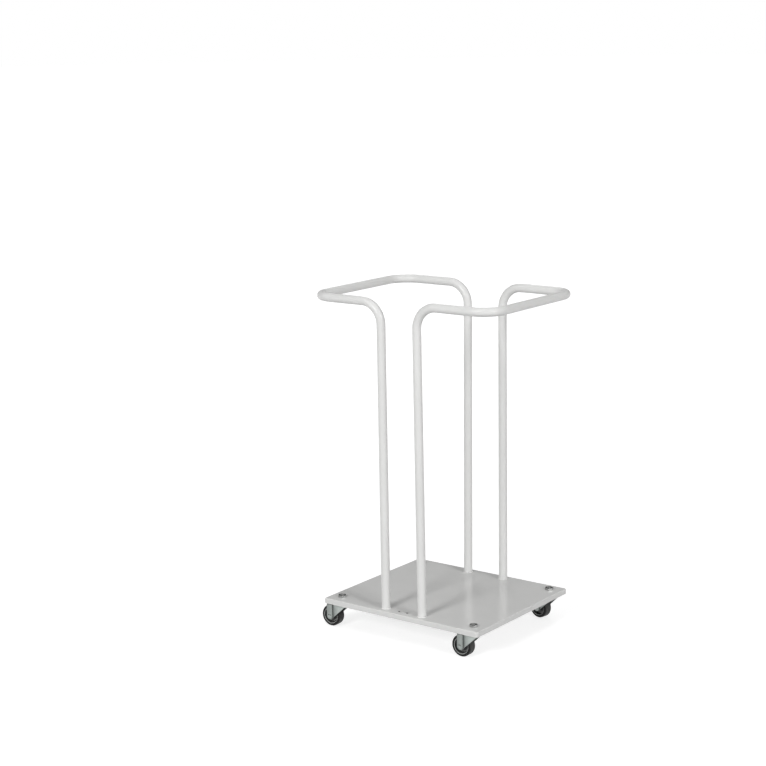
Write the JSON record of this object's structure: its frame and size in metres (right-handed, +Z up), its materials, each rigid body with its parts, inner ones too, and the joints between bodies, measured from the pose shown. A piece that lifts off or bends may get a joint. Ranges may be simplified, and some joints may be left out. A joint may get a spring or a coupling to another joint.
{
  "type": "wheeled bag holder stand",
  "caption": "Wheeled stand for a laboratory waste bag: a folded sheet deck on swivel casters carries bent tube hoops that form an open ring for the bag's rim.",
  "frame": {"origin": "middle of the stand on the floor, under the centre of the deck", "axes": "+X across the two hoops to the right, +Y from front to back, +Z up"},
  "size_m": [0.5, 0.372, 0.78],
  "materials": {
    "deck": "light grey semi-gloss powder coat",
    "tube": "white semi-gloss powder coat",
    "zinc": "zinc plated pressed steel",
    "bolt": "dark zinc plated steel",
    "ball": "polished bearing steel",
    "rim": "grey moulded plastic",
    "tyre": "black rubber"
  },
  "bodies": {
    "stand": {"base_plate": "deck", "left_hoop": "tube", "right_hoop": "tube", "front_left_fixing_bolt": "bolt", "front_left_fixing_nut": "bolt", "front_left_head_cap": "zinc", "front_left_kingpin": "zinc", "front_left_lower_race": "zinc", "front_right_fixing_bolt": "bolt", "front_right_fixing_nut": "bolt", "front_right_head_cap": "zinc", "front_right_kingpin": "zinc", "front_right_lower_race": "zinc", "rear_left_fixing_bolt": "bolt", "rear_left_fixing_nut": "bolt", "rear_left_head_cap": "zinc", "rear_left_kingpin": "zinc", "rear_left_lower_race": "zinc", "rear_right_fixing_bolt": "bolt", "rear_right_fixing_nut": "bolt", "rear_right_head_cap": "zinc", "rear_right_kingpin": "zinc", "rear_right_lower_race": "zinc"},
    "front_left_swivel": {"front_left_fork": "zinc", "front_left_axle": "zinc", "front_left_axle_nut": "zinc", "front_left_axle_bush": "zinc", "front_left_upper_balls": "ball", "front_left_lower_balls": "ball"},
    "front_left_wheel": {"front_left_wheel_rim": "rim", "front_left_tyre": "tyre"},
    "front_right_swivel": {"front_right_fork": "zinc", "front_right_axle": "zinc", "front_right_axle_nut": "zinc", "front_right_axle_bush": "zinc", "front_right_upper_balls": "ball", "front_right_lower_balls": "ball"},
    "front_right_wheel": {"front_right_wheel_rim": "rim", "front_right_tyre": "tyre"},
    "rear_left_swivel": {"rear_left_fork": "zinc", "rear_left_axle": "zinc", "rear_left_axle_nut": "zinc", "rear_left_axle_bush": "zinc", "rear_left_upper_balls": "ball", "rear_left_lower_balls": "ball"},
    "rear_left_wheel": {"rear_left_wheel_rim": "rim", "rear_left_tyre": "tyre"},
    "rear_right_swivel": {"rear_right_fork": "zinc", "rear_right_axle": "zinc", "rear_right_axle_nut": "zinc", "rear_right_axle_bush": "zinc", "rear_right_upper_balls": "ball", "rear_right_lower_balls": "ball"},
    "rear_right_wheel": {"rear_right_wheel_rim": "rim", "rear_right_tyre": "tyre"}
  },
  "joints": [
    {"name": "front_left_swivel_turn", "type": "hinge", "parent": "stand", "child": "front_left_swivel", "pos_m": [-0.1825, -0.156, 0.0641], "axis": [0, 0, 1], "continuous": true},
    {"name": "front_left_wheel_roll", "type": "hinge", "parent": "front_left_swivel", "child": "front_left_wheel", "pos_m": [-0.20898, -0.15692, 0.025], "axis": [-0.0349, 0.9994, 0], "continuous": true},
    {"name": "front_right_swivel_turn", "type": "hinge", "parent": "stand", "child": "front_right_swivel", "pos_m": [0.1825, -0.156, 0.0641], "axis": [0, 0, 1], "continuous": true},
    {"name": "front_right_wheel_roll", "type": "hinge", "parent": "front_right_swivel", "child": "front_right_wheel", "pos_m": [0.156, -0.156, 0.025], "axis": [0, 1, 0], "continuous": true},
    {"name": "rear_left_swivel_turn", "type": "hinge", "parent": "stand", "child": "rear_left_swivel", "pos_m": [-0.1825, 0.156, 0.0641], "axis": [0, 0, 1], "continuous": true},
    {"name": "rear_left_wheel_roll", "type": "hinge", "parent": "rear_left_swivel", "child": "rear_left_wheel", "pos_m": [-0.209, 0.15554, 0.025], "axis": [-0.0175, 0.9998, 0], "continuous": true},
    {"name": "rear_right_swivel_turn", "type": "hinge", "parent": "stand", "child": "rear_right_swivel", "pos_m": [0.1825, 0.156, 0.0641], "axis": [0, 0, 1], "continuous": true},
    {"name": "rear_right_wheel_roll", "type": "hinge", "parent": "rear_right_swivel", "child": "rear_right_wheel", "pos_m": [0.1564, 0.1606, 0.025], "axis": [0.1736, 0.9848, 0], "continuous": true}
  ]
}
